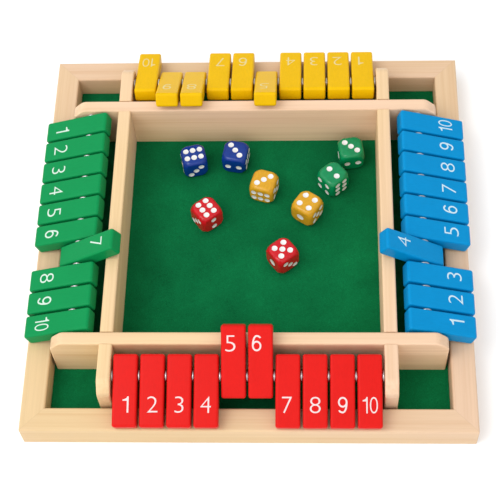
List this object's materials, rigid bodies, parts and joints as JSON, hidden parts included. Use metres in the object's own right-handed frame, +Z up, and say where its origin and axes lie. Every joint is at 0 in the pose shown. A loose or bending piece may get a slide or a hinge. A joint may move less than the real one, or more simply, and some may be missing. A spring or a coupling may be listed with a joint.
{
  "type": "shut the box game",
  "caption": "Square wooden game board with a felted dice tray in the middle, a row of hinged number tiles on each side and loose dice.",
  "frame": {"origin": "centre of the square frame, on the flat underside that the board stands on", "axes": "+Z up; +X towards the side with the blue tiles, +Y towards the side with the yellow tiles"},
  "size_m": [0.302, 0.302, 0.0573],
  "materials": {
    "pine": "smooth, clear satin",
    "plywood": "bare, sanded",
    "felt": "short matt pile",
    "steel": "bright plated",
    "red_paint": "satin paint on wood",
    "blue_paint": "satin paint on wood",
    "yellow_paint": "satin paint on wood",
    "green_paint": "satin paint on wood",
    "blue_die": "polished",
    "amber_die": "polished",
    "green_die": "polished",
    "red_die": "polished"
  },
  "bodies": {
    "board": {"rail_front": "pine", "rail_right": "pine", "rail_back": "pine", "rail_left": "pine", "base_board": "plywood", "felt_sheet": "felt", "wall_front": "pine", "wall_right": "pine", "wall_back": "pine", "wall_left": "pine", "pivot_rods": "steel", "spacer_washers": "steel"},
    "red_tile_01": {"red_tile_01": "red_paint"},
    "red_tile_02": {"red_tile_02": "red_paint"},
    "red_tile_03": {"red_tile_03": "red_paint"},
    "red_tile_04": {"red_tile_04": "red_paint"},
    "red_tile_05": {"red_tile_05": "red_paint"},
    "red_tile_06": {"red_tile_06": "red_paint"},
    "red_tile_07": {"red_tile_07": "red_paint"},
    "red_tile_08": {"red_tile_08": "red_paint"},
    "red_tile_09": {"red_tile_09": "red_paint"},
    "red_tile_10": {"red_tile_10": "red_paint"},
    "blue_tile_01": {"blue_tile_01": "blue_paint"},
    "blue_tile_02": {"blue_tile_02": "blue_paint"},
    "blue_tile_03": {"blue_tile_03": "blue_paint"},
    "blue_tile_04": {"blue_tile_04": "blue_paint"},
    "blue_tile_05": {"blue_tile_05": "blue_paint"},
    "blue_tile_06": {"blue_tile_06": "blue_paint"},
    "blue_tile_07": {"blue_tile_07": "blue_paint"},
    "blue_tile_08": {"blue_tile_08": "blue_paint"},
    "blue_tile_09": {"blue_tile_09": "blue_paint"},
    "blue_tile_10": {"blue_tile_10": "blue_paint"},
    "yellow_tile_01": {"yellow_tile_01": "yellow_paint"},
    "yellow_tile_02": {"yellow_tile_02": "yellow_paint"},
    "yellow_tile_03": {"yellow_tile_03": "yellow_paint"},
    "yellow_tile_04": {"yellow_tile_04": "yellow_paint"},
    "yellow_tile_05": {"yellow_tile_05": "yellow_paint"},
    "yellow_tile_06": {"yellow_tile_06": "yellow_paint"},
    "yellow_tile_07": {"yellow_tile_07": "yellow_paint"},
    "yellow_tile_08": {"yellow_tile_08": "yellow_paint"},
    "yellow_tile_09": {"yellow_tile_09": "yellow_paint"},
    "yellow_tile_10": {"yellow_tile_10": "yellow_paint"},
    "green_tile_01": {"green_tile_01": "green_paint"},
    "green_tile_02": {"green_tile_02": "green_paint"},
    "green_tile_03": {"green_tile_03": "green_paint"},
    "green_tile_04": {"green_tile_04": "green_paint"},
    "green_tile_05": {"green_tile_05": "green_paint"},
    "green_tile_06": {"green_tile_06": "green_paint"},
    "green_tile_07": {"green_tile_07": "green_paint"},
    "green_tile_08": {"green_tile_08": "green_paint"},
    "green_tile_09": {"green_tile_09": "green_paint"},
    "green_tile_10": {"green_tile_10": "green_paint"},
    "blue_die_a": {"blue_die_a": "blue_die"},
    "blue_die_b": {"blue_die_b": "blue_die"},
    "amber_die_a": {"amber_die_a": "amber_die"},
    "amber_die_b": {"amber_die_b": "amber_die"},
    "green_die_a": {"green_die_a": "green_die"},
    "green_die_b": {"green_die_b": "green_die"},
    "red_die_a": {"red_die_a": "red_die"},
    "red_die_b": {"red_die_b": "red_die"}
  },
  "joints": [
    {"name": "red_tile_01_flip", "type": "hinge", "parent": "board", "child": "red_tile_01", "pos_m": [-0.07936, -0.1177, 0.035], "axis": [1, 0, 0], "range_deg": [-164.45, 0]},
    {"name": "red_tile_02_flip", "type": "hinge", "parent": "board", "child": "red_tile_02", "pos_m": [-0.06173, -0.1177, 0.035], "axis": [1, 0, 0], "range_deg": [-164.45, 0]},
    {"name": "red_tile_03_flip", "type": "hinge", "parent": "board", "child": "red_tile_03", "pos_m": [-0.04409, -0.1177, 0.035], "axis": [1, 0, 0], "range_deg": [-164.45, 0]},
    {"name": "red_tile_04_flip", "type": "hinge", "parent": "board", "child": "red_tile_04", "pos_m": [-0.02645, -0.1177, 0.035], "axis": [1, 0, 0], "range_deg": [-164.45, 0]},
    {"name": "red_tile_05_flip", "type": "hinge", "parent": "board", "child": "red_tile_05", "pos_m": [-0.00882, -0.1177, 0.035], "axis": [1, 0, 0], "range_deg": [0, 164.45]},
    {"name": "red_tile_06_flip", "type": "hinge", "parent": "board", "child": "red_tile_06", "pos_m": [0.00882, -0.1177, 0.035], "axis": [1, 0, 0], "range_deg": [0, 164.45]},
    {"name": "red_tile_07_flip", "type": "hinge", "parent": "board", "child": "red_tile_07", "pos_m": [0.02645, -0.1177, 0.035], "axis": [1, 0, 0], "range_deg": [-164.45, 0]},
    {"name": "red_tile_08_flip", "type": "hinge", "parent": "board", "child": "red_tile_08", "pos_m": [0.04409, -0.1177, 0.035], "axis": [1, 0, 0], "range_deg": [-164.45, 0]},
    {"name": "red_tile_09_flip", "type": "hinge", "parent": "board", "child": "red_tile_09", "pos_m": [0.06173, -0.1177, 0.035], "axis": [1, 0, 0], "range_deg": [-164.45, 0]},
    {"name": "red_tile_10_flip", "type": "hinge", "parent": "board", "child": "red_tile_10", "pos_m": [0.07936, -0.1177, 0.035], "axis": [1, 0, 0], "range_deg": [-164.45, 0]},
    {"name": "blue_tile_01_flip", "type": "hinge", "parent": "board", "child": "blue_tile_01", "pos_m": [0.1177, -0.07936, 0.035], "axis": [0, 1, 0], "range_deg": [-164.45, 0]},
    {"name": "blue_tile_02_flip", "type": "hinge", "parent": "board", "child": "blue_tile_02", "pos_m": [0.1177, -0.06173, 0.035], "axis": [0, 1, 0], "range_deg": [-164.45, 0]},
    {"name": "blue_tile_03_flip", "type": "hinge", "parent": "board", "child": "blue_tile_03", "pos_m": [0.1177, -0.04409, 0.035], "axis": [0, 1, 0], "range_deg": [-164.45, 0]},
    {"name": "blue_tile_04_flip", "type": "hinge", "parent": "board", "child": "blue_tile_04", "pos_m": [0.1177, -0.02645, 0.035], "axis": [0, 1, 0], "range_deg": [0, 164.45]},
    {"name": "blue_tile_05_flip", "type": "hinge", "parent": "board", "child": "blue_tile_05", "pos_m": [0.1177, -0.00882, 0.035], "axis": [0, 1, 0], "range_deg": [-164.45, 0]},
    {"name": "blue_tile_06_flip", "type": "hinge", "parent": "board", "child": "blue_tile_06", "pos_m": [0.1177, 0.00882, 0.035], "axis": [0, 1, 0], "range_deg": [-164.45, 0]},
    {"name": "blue_tile_07_flip", "type": "hinge", "parent": "board", "child": "blue_tile_07", "pos_m": [0.1177, 0.02645, 0.035], "axis": [0, 1, 0], "range_deg": [-164.45, 0]},
    {"name": "blue_tile_08_flip", "type": "hinge", "parent": "board", "child": "blue_tile_08", "pos_m": [0.1177, 0.04409, 0.035], "axis": [0, 1, 0], "range_deg": [-164.45, 0]},
    {"name": "blue_tile_09_flip", "type": "hinge", "parent": "board", "child": "blue_tile_09", "pos_m": [0.1177, 0.06173, 0.035], "axis": [0, 1, 0], "range_deg": [-164.45, 0]},
    {"name": "blue_tile_10_flip", "type": "hinge", "parent": "board", "child": "blue_tile_10", "pos_m": [0.1177, 0.07936, 0.035], "axis": [0, 1, 0], "range_deg": [-164.45, 0]},
    {"name": "yellow_tile_01_flip", "type": "hinge", "parent": "board", "child": "yellow_tile_01", "pos_m": [0.07936, 0.1177, 0.035], "axis": [-1, 0, 0], "range_deg": [-164.45, 0]},
    {"name": "yellow_tile_02_flip", "type": "hinge", "parent": "board", "child": "yellow_tile_02", "pos_m": [0.06173, 0.1177, 0.035], "axis": [-1, 0, 0], "range_deg": [-164.45, 0]},
    {"name": "yellow_tile_03_flip", "type": "hinge", "parent": "board", "child": "yellow_tile_03", "pos_m": [0.04409, 0.1177, 0.035], "axis": [-1, 0, 0], "range_deg": [-164.45, 0]},
    {"name": "yellow_tile_04_flip", "type": "hinge", "parent": "board", "child": "yellow_tile_04", "pos_m": [0.02645, 0.1177, 0.035], "axis": [-1, 0, 0], "range_deg": [-164.45, 0]},
    {"name": "yellow_tile_05_flip", "type": "hinge", "parent": "board", "child": "yellow_tile_05", "pos_m": [0.00882, 0.1177, 0.035], "axis": [-1, 0, 0], "range_deg": [0, 164.45]},
    {"name": "yellow_tile_06_flip", "type": "hinge", "parent": "board", "child": "yellow_tile_06", "pos_m": [-0.00882, 0.1177, 0.035], "axis": [-1, 0, 0], "range_deg": [-164.45, 0]},
    {"name": "yellow_tile_07_flip", "type": "hinge", "parent": "board", "child": "yellow_tile_07", "pos_m": [-0.02645, 0.1177, 0.035], "axis": [-1, 0, 0], "range_deg": [-164.45, 0]},
    {"name": "yellow_tile_08_flip", "type": "hinge", "parent": "board", "child": "yellow_tile_08", "pos_m": [-0.04409, 0.1177, 0.035], "axis": [-1, 0, 0], "range_deg": [0, 164.45]},
    {"name": "yellow_tile_09_flip", "type": "hinge", "parent": "board", "child": "yellow_tile_09", "pos_m": [-0.06173, 0.1177, 0.035], "axis": [-1, 0, 0], "range_deg": [0, 164.45]},
    {"name": "yellow_tile_10_flip", "type": "hinge", "parent": "board", "child": "yellow_tile_10", "pos_m": [-0.07936, 0.1177, 0.035], "axis": [-1, 0, 0], "range_deg": [-164.45, 0]},
    {"name": "green_tile_01_flip", "type": "hinge", "parent": "board", "child": "green_tile_01", "pos_m": [-0.1177, 0.07936, 0.035], "axis": [0, -1, 0], "range_deg": [-164.45, 0]},
    {"name": "green_tile_02_flip", "type": "hinge", "parent": "board", "child": "green_tile_02", "pos_m": [-0.1177, 0.06173, 0.035], "axis": [0, -1, 0], "range_deg": [-164.45, 0]},
    {"name": "green_tile_03_flip", "type": "hinge", "parent": "board", "child": "green_tile_03", "pos_m": [-0.1177, 0.04409, 0.035], "axis": [0, -1, 0], "range_deg": [-164.45, 0]},
    {"name": "green_tile_04_flip", "type": "hinge", "parent": "board", "child": "green_tile_04", "pos_m": [-0.1177, 0.02645, 0.035], "axis": [0, -1, 0], "range_deg": [-164.45, 0]},
    {"name": "green_tile_05_flip", "type": "hinge", "parent": "board", "child": "green_tile_05", "pos_m": [-0.1177, 0.00882, 0.035], "axis": [0, -1, 0], "range_deg": [-164.45, 0]},
    {"name": "green_tile_06_flip", "type": "hinge", "parent": "board", "child": "green_tile_06", "pos_m": [-0.1177, -0.00882, 0.035], "axis": [0, -1, 0], "range_deg": [-164.45, 0]},
    {"name": "green_tile_07_flip", "type": "hinge", "parent": "board", "child": "green_tile_07", "pos_m": [-0.1177, -0.02645, 0.035], "axis": [0, -1, 0], "range_deg": [0, 164.45]},
    {"name": "green_tile_08_flip", "type": "hinge", "parent": "board", "child": "green_tile_08", "pos_m": [-0.1177, -0.04409, 0.035], "axis": [0, -1, 0], "range_deg": [-164.45, 0]},
    {"name": "green_tile_09_flip", "type": "hinge", "parent": "board", "child": "green_tile_09", "pos_m": [-0.1177, -0.06173, 0.035], "axis": [0, -1, 0], "range_deg": [-164.45, 0]},
    {"name": "green_tile_10_flip", "type": "hinge", "parent": "board", "child": "green_tile_10", "pos_m": [-0.1177, -0.07936, 0.035], "axis": [0, -1, 0], "range_deg": [-164.45, 0]},
    {"name": "blue_die_a_lift", "type": "slide", "parent": "board", "child": "blue_die_a", "axis": [0, 0, 1], "range_m": [0, 0.08]},
    {"name": "blue_die_b_lift", "type": "slide", "parent": "board", "child": "blue_die_b", "axis": [0, 0, 1], "range_m": [0, 0.08]},
    {"name": "amber_die_a_lift", "type": "slide", "parent": "board", "child": "amber_die_a", "axis": [0, 0, 1], "range_m": [0, 0.08]},
    {"name": "amber_die_b_lift", "type": "slide", "parent": "board", "child": "amber_die_b", "axis": [0, 0, 1], "range_m": [0, 0.08]},
    {"name": "green_die_a_lift", "type": "slide", "parent": "board", "child": "green_die_a", "axis": [0, 0, 1], "range_m": [0, 0.08]},
    {"name": "green_die_b_lift", "type": "slide", "parent": "board", "child": "green_die_b", "axis": [0, 0, 1], "range_m": [0, 0.08]},
    {"name": "red_die_a_lift", "type": "slide", "parent": "board", "child": "red_die_a", "axis": [0, 0, 1], "range_m": [0, 0.08]},
    {"name": "red_die_b_lift", "type": "slide", "parent": "board", "child": "red_die_b", "axis": [0, 0, 1], "range_m": [0, 0.08]}
  ]
}
